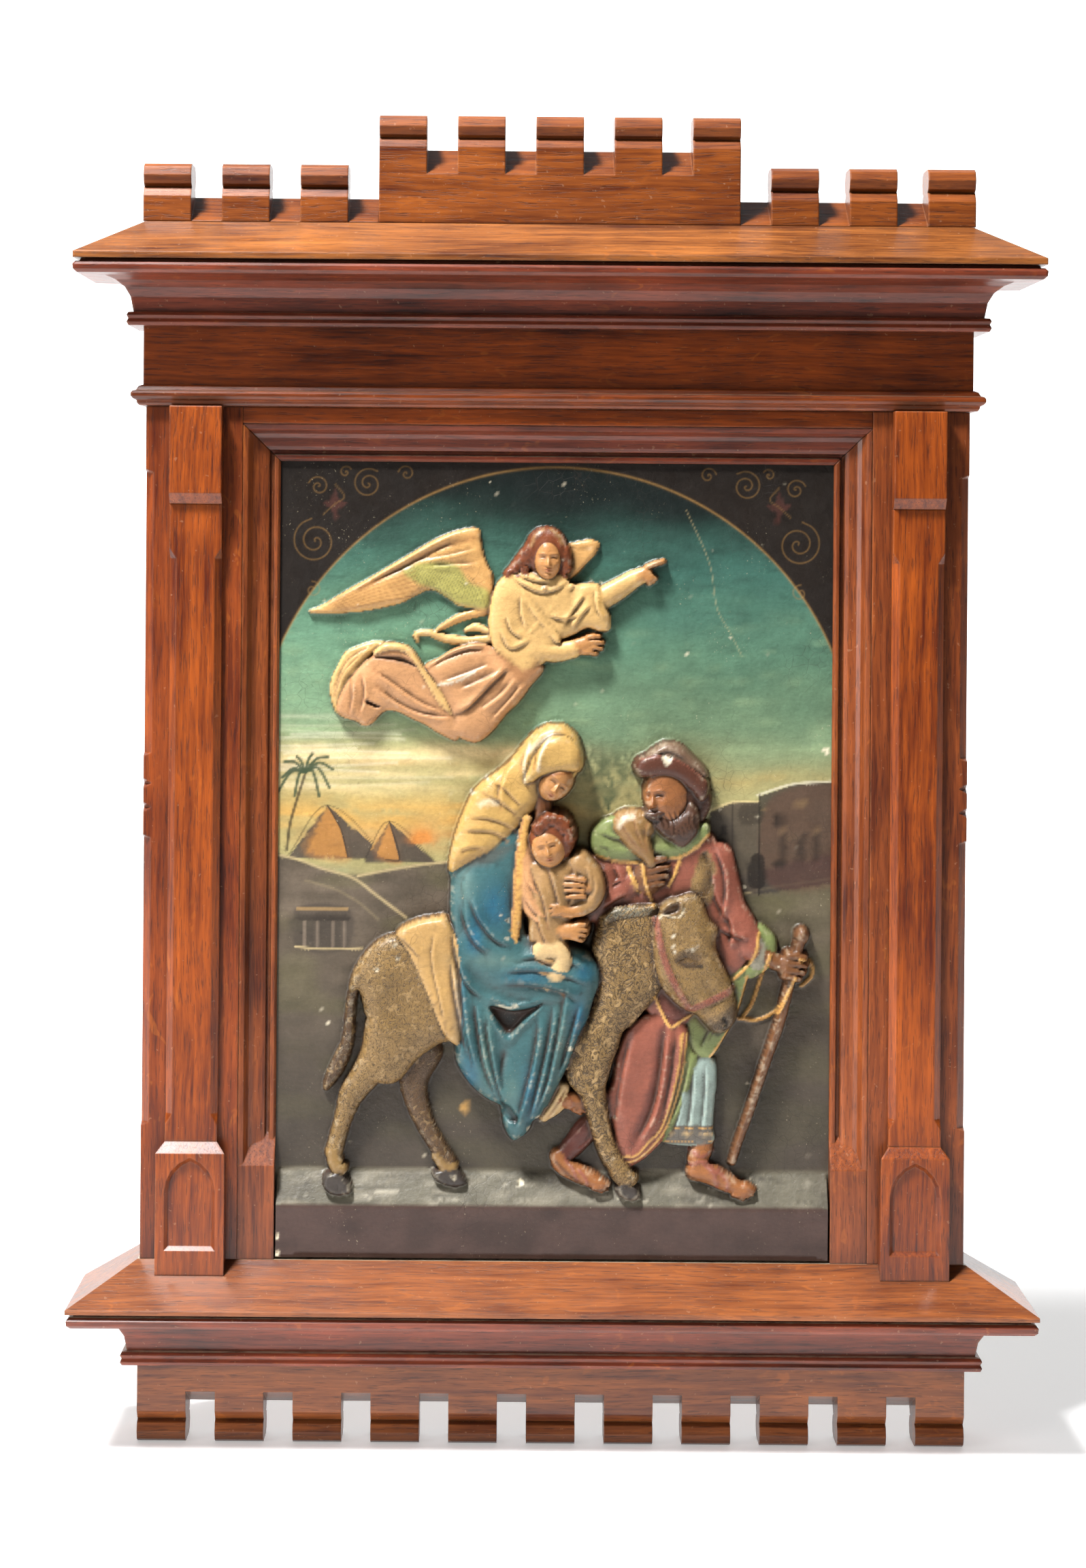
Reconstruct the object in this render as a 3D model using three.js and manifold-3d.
// A painted plaster relief of a journey by donkey, in an oak frame built like a small Gothic front:
// a stepped sill on a battlemented apron, two pilasters, a frieze, a weathered cap and a battlemented crest.
// Millimetres, +Z up, the front faces -Y, and the origin is under the middle of the object, on the floor.
import * as THREE from 'three';
import { mergeVertices } from 'three/addons/utils/BufferGeometryUtils.js';
import Module from 'manifold-3d';

const wasm = await Module();
wasm.setup();

// Driving sizes. Depths run back from the front edge of the sill, heights run up from the floor.
const DEPTH = 135;
const GAP = 0.3;
const HALF_CASE = 396;
const FACE = 61;
const OVERHANG = 61;
const WEATHERING = 34.5;

const SILL_BOTTOM = 139;
const SILL_EDGE = 143;
const SILL_TOP = SILL_EDGE + WEATHERING;
const STILE_TOP = 997.5;
const FRIEZE_BOTTOM = 1018;
const CAP_BOTTOM = 1135;
const CAP_EDGE = 1141;
const CAP_TOP = CAP_EDGE + WEATHERING;

const STILE_THICK = 19;
const STILE_INNER = 303;
const EDGE_CHAMFER = 7.5;
const CHAMFER_BOTTOM = 305;
const CHAMFER_TOP = 938;
const ORNAMENT_MIDDLE = 623.5;

const PILASTER_MIDDLE = 346.5;
const PILASTER_WIDTH = 50;
const BASE_WIDTH = 66;
const BASE_TOP = 293;
const HEAD_BOTTOM = 904;
const HEAD_PROUD = 20;
const SHAFT_PROUD = 12;

const SIGHT_HALF = 267.5;
const SIGHT_TOP = 946;
const SIGHT_WIDTH = STILE_INNER - SIGHT_HALF;
const STOP_BLOCK_TOP = 267;

const CROWN_HEIGHT = 60.5;
const CREST_THICK = 45;
const CREST_PERIOD = 75.5;
const MERLON = 45.8;
const MERLON_COUNT = 11;
const CREST_CENTRE_COUNT = 5;
const CREST_CENTRE_RISE = 48;
const CREST_FACE = 21;
const CREST_NECK = 8.5;
const CREST_ROLL = 23;
const CRENEL_RISE = 29;
const CUT_TOP = 1400;

const APRON_DEPTH = 61.5;
const APRON_HALF = 397.8;
const APRON_PERIOD = 74.9;
const DENTIL = 46.8;
const APRON_CRENEL = 50;
const APRON_CRENEL_FALL = 22;
const APRON_FACE_BOTTOM = 31;
const APRON_ROLL = 22.5;
const CUT_BOTTOM = -5;
const RETURN_THICK = 20;

const GROUND = 80;
const SLAB_THICK = 20;
const SLAB_HALF = 286;
const SLAB_TOP = 965;
const PLINTH_HALF = 267;
const PLINTH_PROUD = 18;
const PLINTH_TOP = 230;
const LEDGE_TOP = 262;
const SLAB_BOTTOM = 180;

// Finishes

const finish = (color, roughness) => new THREE.MeshStandardMaterial({ color, roughness, metalness: 0 });
const oak = finish(0x7a4126, 0.42);
const oakInside = finish(0x6b4a30, 0.7);
const plaster = finish(0x8f8a6e, 0.62);

const group = new THREE.Group();

// Adds one named piece to the group. The body is already in its place.
function piece(name, body, material = oak) {
  const mesh = new THREE.Mesh(geometryOf(body), material.clone());
  mesh.name = name;
  group.add(mesh);
  return mesh;
}

const atDepth = (depth) => depth - DEPTH / 2;

// Closed bodies

// Six times the volume of a mesh, with its sign, so that an inside-out body can be turned.
function signedVolume(position, index) {
  const [a, b, c] = [new THREE.Vector3(), new THREE.Vector3(), new THREE.Vector3()];
  let sum = 0;
  for (let i = 0; i < index.count; i += 3) {
    a.fromBufferAttribute(position, index.getX(i));
    b.fromBufferAttribute(position, index.getX(i + 1));
    c.fromBufferAttribute(position, index.getX(i + 2));
    sum += a.dot(b.cross(c));
  }
  return sum;
}

function solid(geometry) {
  geometry.deleteAttribute('normal');
  geometry.deleteAttribute('uv');
  const welded = mergeVertices(geometry, 1e-4);
  const index = Uint32Array.from(welded.index.array);
  if (signedVolume(welded.attributes.position, welded.index) < 0) {
    for (let i = 0; i < index.length; i += 3) {
      [index[i], index[i + 1]] = [index[i + 1], index[i]];
    }
  }
  return new wasm.Manifold(new wasm.Mesh({
    numProp: 3,
    vertProperties: Float32Array.from(welded.attributes.position.array),
    triVerts: index,
  }));
}

function geometryOf(body) {
  const mesh = body.getMesh();
  const geometry = new THREE.BufferGeometry();
  geometry.setAttribute('position', new THREE.BufferAttribute(mesh.vertProperties, 3));
  geometry.setIndex(new THREE.BufferAttribute(mesh.triVerts, 1));
  return geometry;
}

// A block from its low and high corners, in x, depth and height.
function block([x0, d0, z0], [x1, d1, z1]) {
  const geometry = new THREE.BoxGeometry(x1 - x0, d1 - d0, z1 - z0);
  return solid(geometry.translate((x0 + x1) / 2, atDepth((d0 + d1) / 2), (z0 + z1) / 2));
}

// A section drawn as [depth, height] and run along x, with each end free to slide by what endSlide
// gives for a point of the section, which makes a mitre or a hipped end.
function run(section, x0, x1, endSlide = () => [0, 0]) {
  const shape = new THREE.Shape(section.map(([d, z]) => new THREE.Vector2(d, z)));
  const geometry = new THREE.ExtrudeGeometry(shape, { depth: 1, bevelEnabled: false });
  const p = geometry.attributes.position;
  for (let i = 0; i < p.count; i++) {
    const [d, z, far] = [p.getX(i), p.getY(i), p.getZ(i) > 0.5];
    const [left, right] = endSlide(d, z);
    p.setXYZ(i, far ? x1 + right : x0 + left, atDepth(d), z);
  }
  return solid(geometry);
}

// The same section turned to run back along a side. Its depth is then how far out it stands.
function sideRun(section, side, out0, depthFront, depthBack) {
  const shape = new THREE.Shape(section.map(([o, z]) => new THREE.Vector2(o, z)));
  const geometry = new THREE.ExtrudeGeometry(shape, { depth: 1, bevelEnabled: false });
  const p = geometry.attributes.position;
  for (let i = 0; i < p.count; i++) {
    const [o, z, back] = [p.getX(i), p.getY(i), p.getZ(i) > 0.5];
    p.setXYZ(i, side * (out0 + o), atDepth(back ? depthBack : depthFront - o), z);
  }
  return solid(geometry);
}

// Carcass and back

const CASE_SIDE_THICK = 20;
const BACK_THICK = 8;
const caseFront = FACE + STILE_THICK + GAP;
const backFront = DEPTH - BACK_THICK;
piece(
  'back_board',
  block([-HALF_CASE, backFront, SILL_TOP + GAP], [HALF_CASE, DEPTH, CAP_BOTTOM - GAP]),
  oakInside,
);
for (const [side, word] of [[-1, 'left'], [1, 'right']]) {
  const xs = [side * HALF_CASE, side * (HALF_CASE - CASE_SIDE_THICK)].sort((a, b) => a - b);
  piece(
    `case_side_${word}`,
    block([xs[0], caseFront, SILL_TOP + GAP], [xs[1], backFront - GAP, CAP_BOTTOM - GAP]),
  );
}

// Stiles, with a stopped chamfer on the outer edge and two notches at mid height

function outerCut(side, z0, z1, stop) {
  // A three-cornered bar laid along the outer front edge, with ends that slope out of the wood.
  const reach = EDGE_CHAMFER;
  const section = [[FACE - 1, -1], [FACE + reach, -1], [FACE - 1, reach + 1]];
  const shape = new THREE.Shape(section.map(([d, o]) => new THREE.Vector2(d, o)));
  const geometry = new THREE.ExtrudeGeometry(shape, { depth: 1, bevelEnabled: false });
  const p = geometry.attributes.position;
  for (let i = 0; i < p.count; i++) {
    const [d, o, top] = [p.getX(i), p.getY(i), p.getZ(i) > 0.5];
    const outward = (1 - (o + 1) / (reach + 2)) * (1 - (d - FACE + 1) / (reach + 1));
    const slide = stop * (1 - outward);
    p.setXYZ(i, side * (HALF_CASE - o), atDepth(d), top ? z1 - slide * 0.5 : z0 + slide * 0.5);
  }
  return solid(geometry);
}

const NOTCH_SPACING = 11.5;
const LOBES_HALF = 37;
for (const [side, word] of [[-1, 'left'], [1, 'right']]) {
  const xs = [side * HALF_CASE, side * STILE_INNER].sort((a, b) => a - b);
  let stile = block([xs[0], FACE, SILL_TOP + GAP], [xs[1], FACE + STILE_THICK, STILE_TOP]);
  stile = stile.subtract(outerCut(side, CHAMFER_BOTTOM, ORNAMENT_MIDDLE - LOBES_HALF, 8));
  stile = stile.subtract(outerCut(side, ORNAMENT_MIDDLE + LOBES_HALF, CHAMFER_TOP, 8));
  for (const offset of [-NOTCH_SPACING, NOTCH_SPACING]) {
    stile = stile.subtract(outerCut(side, ORNAMENT_MIDDLE + offset - 6, ORNAMENT_MIDDLE + offset + 6, 11));
  }
  piece(`stile_${word}`, stile);
}

const railBottom = SIGHT_TOP + SIGHT_WIDTH;
const railHalf = STILE_INNER - GAP;
piece('top_rail', block([-railHalf, FACE, railBottom + GAP], [railHalf, FACE + STILE_THICK, STILE_TOP]));

// Sight moulding: how far it lies behind the stile face, against the distance in from its outer edge

const sightProfile = [
  [0, 0.5], [5, 2], [6.5, 4.5], [9, 9.5], [13, 12], [21, 13.5], [24.5, 15], [25.5, 18],
  [28.5, 18], [29.5, 14.5], [33, 14.2], [35.2, 16.5],
];

function sightSection(place) {
  const back = GROUND - GAP;
  return [...sightProfile.map(([t, d]) => [FACE + d, place(t)]), [back, place(35.2)], [back, place(0)]];
}

const topSight = sightSection((t) => railBottom - t);
piece('sight_moulding_top', run(topSight, -railHalf, railHalf, (d, z) => [railBottom - z, z - railBottom]));
for (const [side, word] of [[-1, 'left'], [1, 'right']]) {
  // The stile's inner moulding is the same section stood upright, mitred at the top. Its foot is a
  // plain square block with a sloped top that the moulding dies into.
  const section = sightProfile.map(([t, d]) => [t, FACE + d]);
  section.push([35.2, GROUND - GAP], [0, GROUND - GAP]);
  const shape = new THREE.Shape(section.map(([t, d]) => new THREE.Vector2(t, d)));
  const geometry = new THREE.ExtrudeGeometry(shape, { depth: 1, bevelEnabled: false });
  const p = geometry.attributes.position;
  for (let i = 0; i < p.count; i++) {
    const [t, d, top] = [p.getX(i), p.getY(i), p.getZ(i) > 0.5];
    p.setXYZ(i, side * (railHalf - t), atDepth(d), top ? railBottom - t - 2 * GAP : SILL_TOP + GAP);
  }
  const foot = [
    [FACE + 0.5, SILL_TOP + GAP], [FACE + 0.5, STOP_BLOCK_TOP], [GROUND - GAP, STOP_BLOCK_TOP + 31],
    [GROUND - GAP, SILL_TOP + GAP],
  ];
  const xs = [side * railHalf, side * (railHalf - 35.2)].sort((a, b) => a - b);
  piece(`sight_moulding_${word}`, solid(geometry).add(run(foot, xs[0], xs[1])));
}

// Pilasters

// A four-sided bar with sloped ends, laid along an upright front edge of the shaft.
function shaftCut(x, side, z0, z1, width) {
  const front = FACE - SHAFT_PROUD;
  const bar = new THREE.CylinderGeometry(width, width, 1, 4);
  const p = bar.attributes.position;
  for (let i = 0; i < p.count; i++) {
    const [dx, dy, top] = [p.getX(i), p.getZ(i), p.getY(i) > 0];
    const inward = Math.max(-side * dx, 0) + Math.max(dy, 0);
    p.setXYZ(i, x + dx, atDepth(front) + dy, top ? z1 - 1.6 * inward : z0 + 1.6 * inward);
  }
  return solid(bar);
}

const SHAFT_CHAMFER = 6.5;
const ARCH_HALF = 24.5;
const ARCH_SPRING = 246;
const ARCH_APEX = 280;
const ARCH_FOOT = 187;
const ARCH_SINK = 4;

// A pointed arch as an outline, its two sides struck as arcs that meet at the apex.
function archShape(half, foot, spring, apex, middle) {
  const shape = new THREE.Shape();
  const rise = apex - spring;
  const radius = (half * half + rise * rise) / (2 * half);
  const sweep = Math.acos((radius - half) / radius);
  const steps = 4;
  shape.moveTo(middle - half, foot);
  shape.lineTo(middle + half, foot);
  for (let i = 0; i <= steps; i++) {
    const a = (sweep * i) / steps;
    shape.lineTo(middle + half - radius + radius * Math.cos(a), spring + radius * Math.sin(a));
  }
  for (let i = steps - 1; i >= 0; i--) {
    const a = (sweep * i) / steps;
    shape.lineTo(middle - half + radius - radius * Math.cos(a), spring + radius * Math.sin(a));
  }
  return shape;
}

for (const [side, word] of [[-1, 'left'], [1, 'right']]) {
  const middle = side * PILASTER_MIDDLE;
  const half = PILASTER_WIDTH / 2;
  const headFront = FACE - HEAD_PROUD;
  const shaftFront = FACE - SHAFT_PROUD;
  const head = [
    [headFront, HEAD_BOTTOM + 10], [headFront, STILE_TOP], [FACE - GAP, STILE_TOP],
    [FACE - GAP, HEAD_BOTTOM], [shaftFront, HEAD_BOTTOM],
  ];
  piece(`pilaster_head_${word}`, run(head, middle - half, middle + half));

  let shaft = block(
    [middle - half, shaftFront, BASE_TOP + GAP],
    [middle + half, FACE - GAP, HEAD_BOTTOM - GAP],
  );
  for (const edge of [-1, 1]) {
    shaft = shaft.subtract(shaftCut(middle + edge * half, edge, BASE_TOP + 16, 862, SHAFT_CHAMFER));
  }
  piece(`pilaster_shaft_${word}`, shaft);

  // The base stands on the slope of the sill, so its foot is cut to that slope.
  const slopeAt = (d) => SILL_EDGE + (WEATHERING * d) / OVERHANG + GAP;
  const baseHalf = BASE_WIDTH / 2;
  const baseSection = [
    [headFront, slopeAt(headFront)], [headFront, BASE_TOP - 10], [shaftFront, BASE_TOP],
    [FACE - GAP, BASE_TOP], [FACE - GAP, slopeAt(FACE)],
  ];
  const base = run(baseSection, middle - baseHalf, middle + baseHalf, (d, z) => {
    const inset = z > BASE_TOP - 5 ? 8 : 0;
    return [inset, -inset];
  });
  const recess = new THREE.ExtrudeGeometry(
    archShape(ARCH_HALF - 4, ARCH_FOOT + 7, ARCH_SPRING, ARCH_APEX - 5, middle),
    { depth: ARCH_SINK, bevelEnabled: true, bevelThickness: ARCH_SINK, bevelSize: 4, bevelSegments: 1 },
  );
  recess.rotateX(Math.PI / 2);
  recess.translate(0, atDepth(headFront), 0);
  piece(`pilaster_base_${word}`, base.subtract(solid(recess)));
}

// Frieze and its mouldings

const FRIEZE_FACE = FACE - 0.7;
const FRIEZE_HALF = HALF_CASE + 3;
const crownBottom = CAP_BOTTOM - CROWN_HEIGHT;
piece('frieze_board', block(
  [-FRIEZE_HALF, FRIEZE_FACE, STILE_TOP + GAP],
  [FRIEZE_HALF, FACE + STILE_THICK, CAP_BOTTOM - GAP],
));

// Mouldings as [projection, drop from the top]
const architraveProfile = [
  [0, 0], [1, 0], [4, 1.5], [6, 5], [9, 6], [10.5, 8], [10.5, 11], [8.5, 13.5],
  [5.5, 15], [5, 17.5], [3.5, 19.5], [0, 20],
];
const crownProfile = [
  [0, 0], [53, 0], [54, 2.6], [57.5, 3], [60, 6], [59.5, 10.5], [56.5, 13.5], [33, 14],
  [24, 17.5], [16, 24], [11, 33], [8.5, 47], [13, 47.6], [14.5, 50.5], [13, 53.6],
  [14.5, 57], [13, CROWN_HEIGHT - 0.3], [0, CROWN_HEIGHT],
];

// A moulding carried round the front and both sides, mitred at the corners. planeDepth and planeHalf
// are the face that it is planted on.
function moulding(name, profile, top, planeDepth, planeHalf) {
  const front = profile.map(([o, drop]) => [planeDepth - GAP - o, top - drop]);
  piece(`${name}_front`, run(front, -planeHalf, planeHalf, (d) => {
    const out = planeDepth - GAP - d;
    return [-out - GAP, out + GAP];
  }));
  const sideProfile = profile.map(([o, drop]) => [o, top - drop]);
  for (const [side, word] of [[-1, 'left'], [1, 'right']]) {
    piece(`${name}_${word}`, sideRun(sideProfile, side, planeHalf + GAP, planeDepth + GAP / 2, DEPTH));
  }
}

moulding('architrave', architraveProfile, FRIEZE_BOTTOM, FRIEZE_FACE, FRIEZE_HALF);
moulding('cornice_moulding', crownProfile, CAP_BOTTOM - GAP, FRIEZE_FACE, FRIEZE_HALF);

// Sill and cap: thick boards, weathered to a slope on the front and both sides

function weatheredBoard(name, bottom, edge, top) {
  const half = HALF_CASE + 2 + OVERHANG;
  const section = [[0, bottom], [0, edge], [FACE, top], [DEPTH, top], [DEPTH, bottom]];
  // The sides are cut to the same slope by two wedges.
  let board = run(section, -half, half);
  for (const side of [-1, 1]) {
    const wedge = new THREE.Shape([
      new THREE.Vector2(half - OVERHANG, top), new THREE.Vector2(half + OVERHANG, edge - WEATHERING),
      new THREE.Vector2(half + OVERHANG, top + 10), new THREE.Vector2(half - OVERHANG, top + 10),
    ]);
    const cutter = new THREE.ExtrudeGeometry(wedge, { depth: DEPTH + 20, bevelEnabled: false });
    cutter.rotateX(Math.PI / 2);
    cutter.scale(side, 1, 1);
    cutter.translate(0, DEPTH / 2 + 10, 0);
    board = board.subtract(solid(cutter));
  }
  piece(name, board);
}

weatheredBoard('sill_board', SILL_BOTTOM, SILL_EDGE, SILL_TOP);
weatheredBoard('cornice_cap', CAP_BOTTOM, CAP_EDGE, CAP_TOP);
moulding('sill_moulding', crownProfile, SILL_BOTTOM - GAP, APRON_DEPTH, APRON_HALF);

// Crest and apron: boards with a face, a set-back neck and a rolled edge, cut into merlons

// Half of the outline of such a board, from its root to the tip of its roll, as [depth, height].
function rolledBoard(front, thick, root, faceTop, neckRise, rollSize) {
  const back = front + thick;
  const neck = faceTop + neckRise;
  const middle = neck + rollSize / 2;
  const nose = rollSize / 2 - 2.5;
  const points = [[front, root], [front, faceTop], [front + 6, neck]];
  const steps = 4;
  for (let i = 0; i <= steps; i++) {
    const a = -Math.PI / 2 + (Math.PI * i) / steps;
    points.push([front + nose - nose * Math.cos(a), middle + (rollSize / 2) * Math.sin(a)]);
  }
  for (let i = steps; i >= 0; i--) {
    const a = -Math.PI / 2 + (Math.PI * i) / steps;
    points.push([back - nose + nose * Math.cos(a), middle + (rollSize / 2) * Math.sin(a)]);
  }
  points.push([back - 6, neck], [back, faceTop], [back, root]);
  return points;
}

// A crenel is cut out with a floor that climbs towards the back.
function crenel(x, width, front, thick, floor, rise, top) {
  const section = [
    [front - 1, floor], [front - 1, top], [front + thick + 1, top], [front + thick + 1, floor + rise],
    [front, floor],
  ];
  return run(section, x, x + width);
}

const crestHalf = ((MERLON_COUNT - 1) * CREST_PERIOD + MERLON) / 2;
const centreFirst = (MERLON_COUNT - CREST_CENTRE_COUNT) / 2;
const merlonStart = (i) => -crestHalf + i * CREST_PERIOD;

function crest(name, first, last, from, to, rise) {
  const root = CAP_TOP + GAP;
  const faceTop = CAP_TOP + rise + CREST_FACE + (rise > 0 ? 5 : 4);
  const roll = rise > 0 ? CREST_ROLL - 1 : CREST_ROLL;
  const outline = rolledBoard(FACE, CREST_THICK, root, faceTop, CREST_NECK, roll);
  let board = run(outline, from, to);
  const floor = rise > 0 ? CAP_TOP + rise : root;
  for (let i = first; i <= last; i++) {
    const width = CREST_PERIOD - MERLON;
    const start = merlonStart(i) + MERLON;
    board = board.subtract(crenel(start, width, FACE, CREST_THICK, floor, CRENEL_RISE, CUT_TOP));
  }
  piece(name, board);
}

const centreLeft = merlonStart(centreFirst);
const centreRight = -centreLeft;
crest('crest_left', 0, centreFirst - 1, -crestHalf, centreLeft - GAP, 0);
crest(
  'crest_centre', centreFirst, centreFirst + CREST_CENTRE_COUNT - 2, centreLeft, centreRight,
  CREST_CENTRE_RISE,
);
crest('crest_right', MERLON_COUNT - centreFirst - 1, MERLON_COUNT - 2, centreRight + GAP, crestHalf, 0);

// The apron is the same board upside down, so its outline is built downwards and turned over.
const apronTop = SILL_BOTTOM - GAP;
const apronOutline = rolledBoard(
  APRON_DEPTH, CREST_THICK, -apronTop, -APRON_FACE_BOTTOM, CREST_NECK, APRON_ROLL,
).map(([d, z]) => [d, -z]);
let apron = run(apronOutline, -APRON_HALF, APRON_HALF);
for (let i = 0; i < MERLON_COUNT - 1; i++) {
  const x = -APRON_HALF + i * APRON_PERIOD + DENTIL;
  const cut = [
    [APRON_DEPTH - 1, APRON_CRENEL], [APRON_DEPTH, APRON_CRENEL],
    [APRON_DEPTH + CREST_THICK + 1, APRON_CRENEL - APRON_CRENEL_FALL],
    [APRON_DEPTH + CREST_THICK + 1, CUT_BOTTOM], [APRON_DEPTH - 1, CUT_BOTTOM],
  ];
  apron = apron.subtract(run(cut, x, x + APRON_PERIOD - DENTIL));
}
piece('apron_front', apron);
for (const [side, word] of [[-1, 'left'], [1, 'right']]) {
  const xs = [side * APRON_HALF, side * (APRON_HALF - RETURN_THICK)].sort((a, b) => a - b);
  const front = APRON_DEPTH + CREST_THICK + GAP;
  piece(`apron_return_${word}`, block([xs[0], front, 0], [xs[1], DEPTH, apronTop]));
}

// The relief is one casting: a slab with a plinth and a sloping ledge, and the figures raised on it.
// Points on it are [x, height], and rises are measured forwards from its ground.

const GROUND_EMBED = 6;
const LEDGE_EMBED = 5;
const EDGE_SHARE = 0.8;
const END_SHARE = 0.6;

const ledge = run([
  [GROUND - PLINTH_PROUD, SLAB_BOTTOM], [GROUND - PLINTH_PROUD, PLINTH_TOP], [GROUND, LEDGE_TOP],
  [GROUND + LEDGE_EMBED, LEDGE_TOP], [GROUND + LEDGE_EMBED, SLAB_BOTTOM],
], -PLINTH_HALF, PLINTH_HALF);
const slab = block([-SLAB_HALF, GROUND, SLAB_BOTTOM], [SLAB_HALF, GROUND + SLAB_THICK, SLAB_TOP]);

function ledgeRise(z) {
  const up = (LEDGE_TOP - z) / (LEDGE_TOP - PLINTH_TOP);
  return PLINTH_PROUD * Math.min(Math.max(up, 0), 1);
}

// A closed smooth outline through a few points.
function rimCurve(points) {
  const knots = points.map(([x, z]) => new THREE.Vector3(x, 0, z));
  return new THREE.CatmullRomCurve3(knots, true, 'centripetal');
}

// Swellings: an outline, a peak inside it, the rise at the rim and the rise at the peak.
// The surface between them is a dome, so it can be worked out at any point.
const swellings = [];

function swell(rim, peak, low, high) {
  const curve = rimCurve(rim);
  const ring = curve.getPoints(40).map((v) => [v.x - peak[0], v.z - peak[1]]);
  swellings.push({ curve, ring, peak, low, high, count: rim.length });
}

// How far out a point lies in a swelling: 0 at its peak, 1 on its rim.
function outwardness({ ring, peak }, x, z) {
  const [px, pz] = [x - peak[0], z - peak[1]];
  if (Math.hypot(px, pz) < 1e-6) return 0;
  for (let i = 0; i < ring.length; i++) {
    const [a, b] = [ring[i], ring[(i + 1) % ring.length]];
    const cross = a[0] * b[1] - a[1] * b[0];
    const s = (px * b[1] - pz * b[0]) / cross;
    const t = (a[0] * pz - a[1] * px) / cross;
    if (Math.abs(cross) > 1e-9 && s >= -1e-6 && t >= -1e-6) return s + t;
  }
  return Infinity;
}

function riseAt(x, z) {
  let rise = ledgeRise(z);
  for (const form of swellings) {
    const out = outwardness(form, x, z);
    if (out < 1) rise = Math.max(rise, form.low + (form.high - form.low) * Math.sqrt(1 - out * out));
  }
  return rise;
}

const reliefPoint = (x, rise, z) => new THREE.Vector3(x, atDepth(GROUND - rise), z);

// Builds a swelling from a sphere: its rows run from the peak to the rim, down the wall and under it.
function swellBody({ curve, peak, low, high, count }) {
  const around = Math.min(Math.max(count - 1, 8), 14);
  const domeRows = 2;
  const sphere = new THREE.SphereGeometry(1, around, domeRows + 2);
  const p = sphere.attributes.position;
  for (let i = 0; i < p.count; i++) {
    const row = Math.floor(i / (around + 1));
    const turn = (i % (around + 1)) % around;
    const rim = curve.getPointAt(turn / around);
    const tilt = (Math.min(row, domeRows) / domeRows) * (Math.PI / 2);
    const out = row > domeRows + 1 ? 0 : Math.sin(tilt);
    const rise = row > domeRows ? -GROUND_EMBED : low + (high - low) * Math.cos(tilt);
    const v = reliefPoint(peak[0] + (rim.x - peak[0]) * out, rise, peak[1] + (rim.z - peak[1]) * out);
    p.setXYZ(i, v.x, v.y, v.z);
  }
  return solid(sphere);
}

// Limbs and folds: a rounded ridge along a line, with upright sides and ends that slope to the ground.
// Each point is [x, height, half width, rise].
function limbBody(points, rowsPerSpan, crownSteps) {
  const knots = points.map(([x, z]) => new THREE.Vector3(x, 0, z));
  const line = new THREE.CatmullRomCurve3(knots, false, 'centripetal');
  const spans = points.length - 1;
  const rows = spans * rowsPerSpan + 2;
  const columns = crownSteps + 3;
  const sphere = new THREE.SphereGeometry(1, columns, rows);
  const p = sphere.attributes.position;
  for (let i = 0; i < p.count; i++) {
    const row = Math.floor(i / (columns + 1));
    const column = (i % (columns + 1)) % columns;
    const along = Math.min(Math.max((row - 1) / (rows - 2), 0), 1);
    const span = Math.min(Math.floor(along * spans), spans - 1);
    const share = along * spans - span;
    const [half, rise] = [2, 3].map((k) => points[span][k] * (1 - share) + points[span + 1][k] * share);
    const at = line.getPoint(along);
    const tangent = line.getTangent(along);
    const end = Number(row === rows) - Number(row === 0);
    const swing = (Math.PI * Math.min(column, crownSteps)) / crownSteps;
    const across = half * Math.cos(column === columns - 1 ? 0 : swing) * (end ? 0 : 1);
    const edge = rise - half * EDGE_SHARE;
    const crown = edge + (rise - edge) * Math.sin(swing);
    const beyond = end * half * END_SHARE;
    const v = reliefPoint(
      at.x + tangent.z * across + tangent.x * beyond,
      end || column > crownSteps ? -GROUND_EMBED : crown,
      at.z - tangent.x * across + tangent.z * beyond,
    );
    p.setXYZ(i, v.x, v.y, v.z);
  }
  return solid(sphere);
}

const limbs = [];
const limb = (...points) => limbs.push(points);

// A fold rides on the surface under it, a little proud of it, and dies away at its ends.
function fold(halfWidth, lift, ...points) {
  const last = points.length - 1;
  const body = points.map(([x, z], i) => {
    const fade = i === 0 || i === last ? 0.35 : 1;
    return [x, z, halfWidth * (0.4 + 0.6 * fade), riseAt(x, z) + lift * fade];
  });
  limbs.push(Object.assign(body, { isFold: true }));
}

// The angel
swell([[-240, 801], [-200, 823], [-160, 846], [-120, 870], [-92, 881], [-78, 883], [-73, 868], [-62, 838],
  [-64, 804], [-85, 805], [-105, 814], [-121, 823], [-138, 816], [-165, 806], [-205, 800]], [-92, 845], 3, 8);
swell([[6, 868], [25, 871], [40, 869], [38, 860], [27, 848], [12, 834], [2, 850]], [20, 860], 3, 6);
swell([[-60, 773], [-90, 768], [-115, 755], [-127, 748], [-115, 722], [-102, 705], [-97, 682], [-80, 676],
  [-66, 681], [-48, 703], [-30, 724], [-14, 750], [-30, 747], [-48, 757]], [-72, 715], 7, 15);
swell([[-127, 750], [-140, 766], [-152, 770], [-172, 768], [-190, 749], [-212, 712], [-206, 700], [-185, 691],
  [-170, 702], [-158, 706], [-140, 700], [-115, 685], [-98, 690], [-104, 712]], [-140, 730], 5, 12);
swell([[-165, 771], [-185, 770], [-203, 762], [-214, 745], [-218, 722], [-214, 702], [-207, 706], [-196, 742],
  [-180, 760]], [-201, 742], 3, 7);
swell([[-30, 842], [-48, 838], [-60, 822], [-65, 795], [-63, 770], [-48, 752], [-32, 731], [-22, 742],
  [-8, 756], [4, 776], [12, 800], [14, 822], [4, 838]], [-28, 795], 8, 17);
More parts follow.
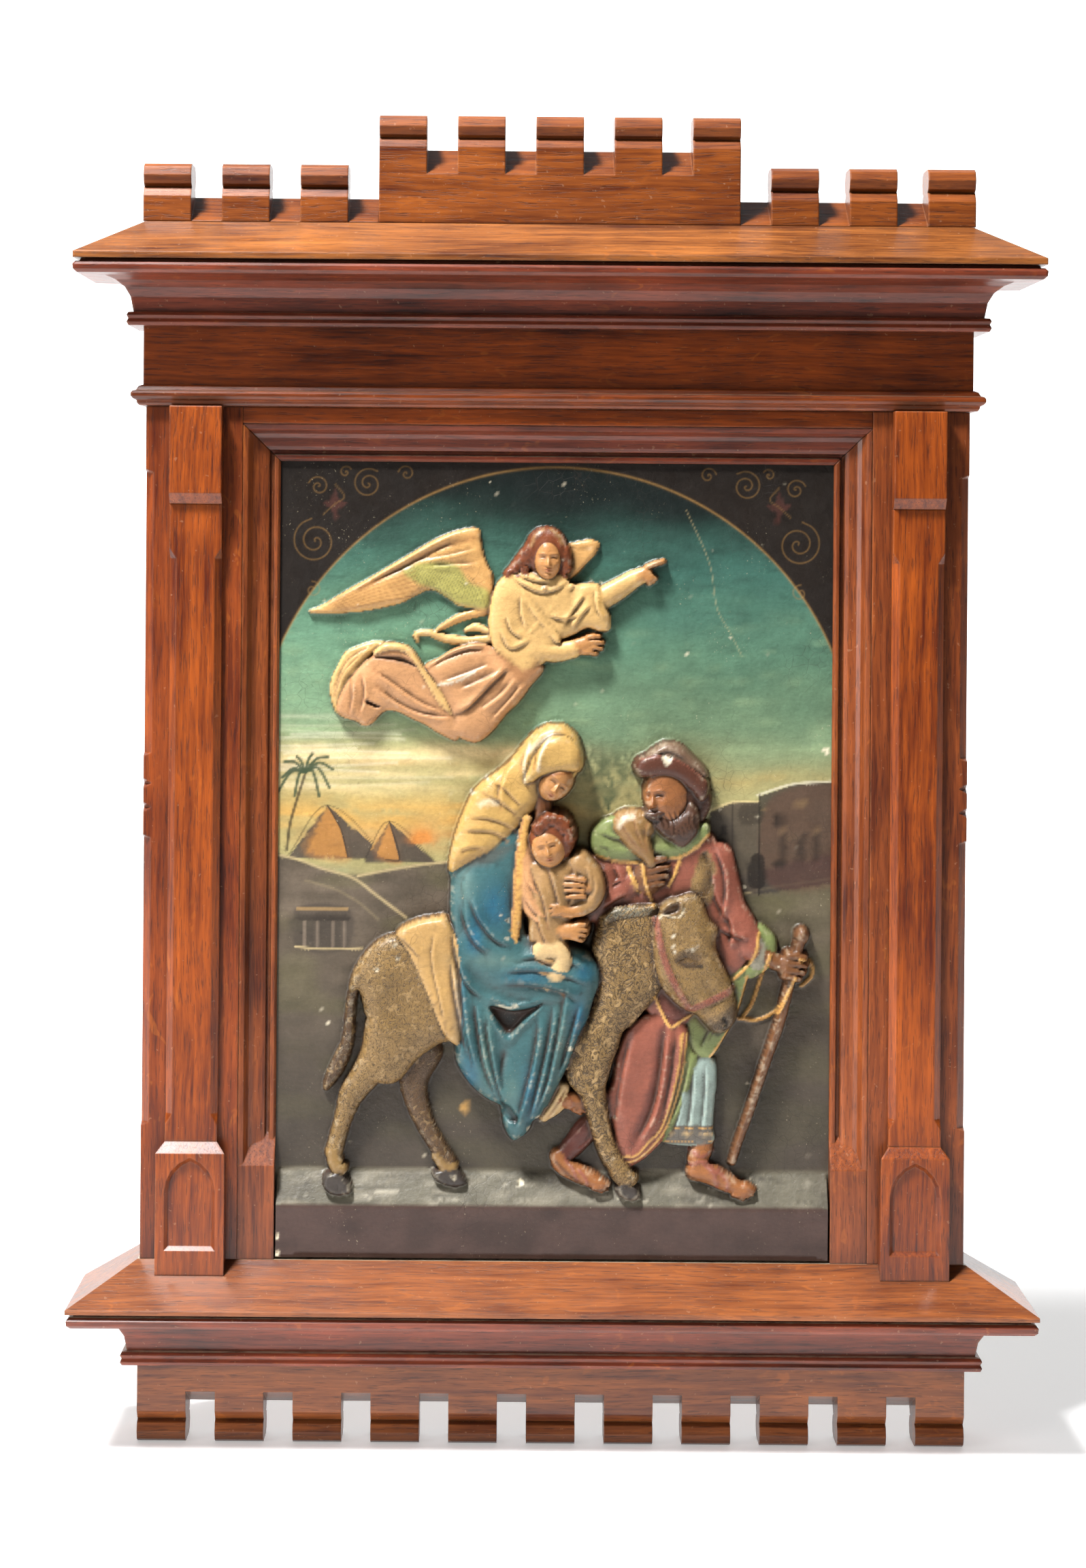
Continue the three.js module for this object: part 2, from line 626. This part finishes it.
swell([[4, 834], [20, 829], [38, 829], [44, 816], [52, 800], [51, 786], [32, 787], [14, 781], [1, 777],
  [-4, 800]], [22, 812], 8, 16);
swell([[-31, 862], [-26, 876], [-12, 884], [2, 880], [11, 867], [11, 852], [4, 840], [-5, 833], [-16, 838],
  [-24, 848]], [-9, 858], 10, 23);
limb([44, 817, 11, 13], [60, 826, 9.5, 12.5], [75, 836, 7.5, 12], [87, 843, 6, 12]);
limb([86, 845, 3, 11], [99, 852, 2, 9]);
limb([-20, 767, 12, 18], [5, 766, 10, 17.5], [24, 769, 8, 16.5], [40, 771, 7, 14]);
limb([-24, 858, 8, 15], [-34, 850, 8, 13], [-41, 844, 5, 11]);
limb([-68, 803, 3, 5], [-95, 795, 3.5, 5], [-119, 782, 1.5, 3.5]);
limb([-72, 779, 6, 9], [-95, 774, 5, 6], [-118, 779, 3.5, 5], [-134, 777, 4, 4.5]);

// The mother on the donkey: donkey first, then her robe, veil and child
swell([[-150, 491], [-168, 484], [-182, 470], [-192, 453], [-194, 436], [-186, 422], [-176, 392], [-180, 370],
  [-160, 350], [-140, 360], [-120, 378], [-98, 388], [-94, 440], [-98, 498], [-125, 500]],
  [-140, 435], 12, 25);
swell([[45, 511], [62, 518], [85, 523], [104, 520], [112, 490], [108, 450], [95, 430], [84, 416], [67, 398],
  [60, 380], [50, 355], [30, 335], [15, 352], [12, 385], [30, 408], [38, 430], [44, 450], [38, 478],
  [41, 497]], [68, 450], 16, 29);
swell([[-150, 490], [-135, 500], [-118, 506], [-106, 506], [-101, 495], [-97, 440], [-97, 388], [-106, 398],
  [-120, 430], [-136, 465]], [-112, 455], 20, 27);
limb([-160, 400, 22, 24], [-172, 370, 17, 21], [-190, 341, 12, 18], [-200, 318, 8.5, 16], [-208, 292, 7, 15],
  [-212, 272, 7.5, 16]);
limb([-128, 374, 18, 14], [-134, 348, 14, 12], [-130, 325, 11, 11.5], [-118, 298, 8.5, 11],
  [-106, 281, 8, 11], [-99, 270, 8, 12]);
limb([34, 372, 16, 26], [40, 335, 10.5, 24], [46, 306, 9.5, 22], [54, 281, 9.5, 21], [68, 260, 9, 21]);
limb([-192, 442, 4, 14], [-196, 412, 4.5, 12.5], [-199, 390, 6, 11], [-207, 365, 7.5, 9.5],
  [-217, 344, 4, 7]);
swell([[-222, 262], [-205, 269], [-196, 262], [-190, 247], [-196, 240], [-214, 241], [-222, 250]],
  [-207, 254], 15, 21);
swell([[-119, 266], [-104, 268], [-92, 272], [-84, 262], [-79, 252], [-89, 247], [-101, 248], [-114, 255]],
  [-98, 259], 9, 14);
swell([[59, 252], [68, 258], [82, 256], [87, 242], [80, 237], [68, 239], [60, 246]], [73, 248], 18, 23);
swell([[100, 522], [118, 530], [138, 528], [150, 507], [158, 478], [168, 452], [174, 430], [175, 412],
  [168, 402], [157, 398], [148, 404], [136, 417], [126, 424], [110, 440], [97, 462], [92, 490]],
  [133, 470], 22, 40);
limb([140, 522, 8, 20], [147, 545, 12, 19], [143, 568, 9, 17], [139, 582, 3, 14]);
swell([[98, 512], [107, 520], [118, 528], [127, 524], [124, 514], [112, 509]], [113, 518], 34, 40);

swell([[-98, 470], [-98, 440], [-95, 400], [-93, 375], [-86, 356], [-75, 343], [-62, 333], [-50, 326],
  [-46, 306], [-38, 295], [-26, 301], [-20, 312], [-6, 332], [4, 352], [11, 368], [14, 390], [18, 420],
  [12, 442], [-5, 438], [-40, 428], [-70, 440]], [-40, 385], 15, 28);
swell([[-100, 560], [-99, 530], [-100, 500], [-92, 470], [-70, 440], [-40, 428], [-12, 438], [-26, 470],
  [-36, 500], [-34, 540], [-30, 590], [-42, 588], [-55, 575], [-75, 564]], [-65, 505], 16, 28);
swell([[-10, 436], [12, 442], [24, 462], [33, 473], [41, 462], [44, 448], [38, 430], [33, 412], [20, 390],
  [12, 386], [0, 400]], [20, 432], 20, 34);
swell([[-24, 682], [-38, 666], [-50, 652], [-64, 642], [-76, 630], [-86, 612], [-94, 592], [-99, 570],
  [-101, 558], [-85, 561], [-68, 566], [-55, 573], [-44, 586], [-34, 599], [-22, 612], [-14, 622],
  [-20, 650]], [-50, 615], 16, 31);
swell([[-20, 686], [-8, 693], [4, 694], [15, 688], [22, 674], [24, 657], [22, 648], [8, 640], [-4, 628],
  [-14, 622], [-26, 640], [-30, 662]], [-2, 662], 18, 36);
swell([[-20, 642], [-8, 646], [6, 642], [5, 633], [-3, 626], [-12, 622], [-20, 629]], [-8, 635], 26, 33);
swell([[-22, 558], [-10, 554], [5, 554], [16, 561], [26, 569], [35, 562], [41, 547], [44, 534], [36, 521],
  [25, 512], [12, 514], [-4, 523], [-22, 533], [-25, 545]], [8, 540], 24, 36);
swell([[-24, 602], [-17, 611], [-5, 608], [6, 604], [15, 592], [15, 577], [8, 566], [-2, 561], [-14, 567],
  [-24, 584]], [-4, 586], 26, 44);
swell([[-20, 491], [-4, 493], [8, 487], [13, 476], [14, 458], [12, 444], [0, 439], [-9, 440], [-19, 452],
  [-24, 465], [-22, 480]], [-6, 467], 26, 38);
swell([[9, 552], [26, 552], [31, 540], [26, 529], [11, 529], [6, 540]], [18, 540], 32, 40);
limb([-24, 521, 11, 32], [-9, 512, 10, 35], [6, 504, 8, 37], [17, 498, 7.5, 38], [26, 490, 5, 36]);
limb([-12, 311, 2, 17], [0, 326, 5, 20], [14, 344, 5, 22]);
limb([12, 331, 7, 20], [29, 329, 5, 19]);

// The man who leads them
swell([[40, 568], [62, 562], [85, 563], [105, 567], [135, 577], [150, 590], [162, 572], [170, 548],
  [174, 520], [178, 508], [172, 470], [170, 440], [120, 420], [95, 430], [60, 500], [45, 520],
  [42, 545]], [110, 510], 9, 15);
swell([[44, 590], [56, 596], [95, 592], [110, 585], [122, 579], [140, 592], [137, 576], [121, 566],
  [100, 563], [83, 560], [60, 562], [41, 567]], [86, 575], 12, 18);
swell([[170, 505], [180, 509], [196, 495], [214, 481], [221, 468], [214, 455], [207, 440], [198, 413],
  [188, 407], [180, 410], [173, 440], [169, 470]], [188, 462], 9, 18);
swell([[84, 416], [112, 403], [128, 398], [122, 360], [115, 328], [108, 304], [97, 286], [84, 273],
  [70, 268], [64, 280], [58, 300], [52, 330], [50, 356], [62, 382], [72, 404]], [88, 345], 12, 21);
swell([[128, 400], [158, 402], [157, 360], [155, 325], [154, 294], [130, 293], [108, 294], [112, 312],
  [124, 330], [132, 360]], [141, 345], 8, 14);
swell([[88, 645], [104, 648], [128, 642], [137, 620], [136, 600], [124, 580], [110, 586], [98, 598],
  [92, 613], [88, 630]], [112, 618], 14, 25);
swell([[77, 656], [92, 669], [105, 677], [116, 677], [134, 663], [145, 650], [147, 638], [143, 622],
  [132, 634], [116, 641], [100, 646], [84, 644]], [113, 656], 16, 28);
swell([[54, 598], [62, 609], [74, 613], [85, 612], [94, 602], [98, 588], [97, 574], [88, 566], [80, 566],
  [70, 577], [58, 590]], [77, 592], 15, 24);
limb([87, 537, 9, 22], [92, 551, 12, 25], [95, 563, 9, 24]);
limb([130, 400, 8, 15], [126, 362, 8, 13], [113, 316, 4, 12]);
limb([212, 467, 11, 19], [226, 466, 11, 20], [239, 462, 9, 21]);
limb([236, 500, 5, 18], [239, 480, 5, 18], [226, 440, 4, 15], [208, 377, 4, 11], [190, 321, 3.5, 9],
  [173, 269, 3, 8]);
limb([232, 496, 5, 18], [244, 495, 5, 18]);
limb([142, 298, 10, 12], [143, 279, 9, 13], [147, 266, 9, 14], [164, 258, 8.5, 14], [184, 249, 6, 16]);
limb([36, 306, 12, 12], [20, 290, 11, 11], [8, 277, 8, 10]);
limb([24, 266, 9, 13], [38, 256, 9, 15], [47, 250, 7, 16]);
limb([178, 408, 2, 13], [200, 412, 2, 5], [217, 416, 2, 9]);
limb([216, 452, 2, 10], [210, 441, 2, 6], [220, 437, 2, 6], [228, 446, 2, 10]);

// Folds of the drapery
fold(4, 3, [-60, 765], [-90, 752], [-118, 742]);
fold(4, 3.5, [-44, 752], [-62, 724], [-90, 702], [-104, 699]);
fold(4, 3, [-180, 745], [-150, 728], [-120, 706], [-96, 698]);
fold(3.5, 2.5, [-160, 764], [-140, 757], [-122, 738], [-106, 716]);
fold(3, 2.5, [-196, 742], [-190, 720], [-186, 700]);
fold(3.5, 2.5, [-36, 828], [-24, 806], [-8, 780]);
fold(3, 2.5, [6, 826], [-4, 808], [-14, 794]);
fold(3.5, 2.5, [30, 826], [36, 806], [46, 790]);
fold(4, 3, [-50, 818], [-52, 790], [-40, 764], [-20, 775]);
fold(3.5, 3.5, [-22, 678], [-32, 655], [-30, 625], [-26, 615]);
fold(3.5, 3.5, [-68, 634], [-50, 622], [-30, 618]);
fold(3.5, 3.5, [-86, 606], [-68, 598], [-42, 602]);
fold(3.5, 3, [-92, 590], [-74, 582], [-50, 588]);
fold(4, 4, [-96, 530], [-80, 470], [-60, 436], [-30, 430], [-10, 437]);
fold(4, 4, [-80, 510], [-68, 470], [-52, 455], [-26, 456]);
fold(4, 4.5, [-78, 430], [-62, 405], [-44, 391], [-22, 404], [0, 430]);
fold(4.5, 4, [-92, 450], [-84, 400], [-70, 362], [-52, 335]);
fold(4.5, 4, [-72, 425], [-62, 380], [-48, 345], [-38, 310]);
fold(4.5, 4, [8, 440], [0, 400], [-12, 350], [-26, 308]);
fold(4, 3, [14, 425], [9, 390], [-2, 350]);
fold(3, 3, [-38, 590], [-37, 540], [-38, 486]);
fold(4, 3, [112, 400], [106, 350], [96, 310], [74, 284]);
fold(3, 2.5, [122, 396], [113, 340], [104, 300], [76, 272]);
fold(3.5, 2.5, [84, 405], [74, 360], [70, 310]);
fold(3.5, 3, [150, 588], [162, 555], [166, 520]);
fold(3, 2.5, [194, 492], [182, 470], [171, 450]);
fold(3, 2.5, [212, 478], [205, 450], [190, 412]);
fold(3, 2.5, [145, 385], [147, 345], [145, 305]);
fold(2.5, 2, [-216, 803], [-170, 828], [-120, 858], [-84, 872]);
fold(2.5, 2, [-200, 806], [-160, 820], [-124, 836], [-80, 842]);
fold(3, 3, [101, 512], [107, 470], [128, 424]);
fold(3, 3, [133, 423], [152, 432], [171, 441]);

let relief = slab.add(ledge);
for (const form of swellings) relief = relief.add(swellBody(form));
for (const points of limbs) {
  relief = relief.add(limbBody(points, 1, points.isFold ? 2 : 3));
}
piece('relief_panel', relief, plaster);

export default group;
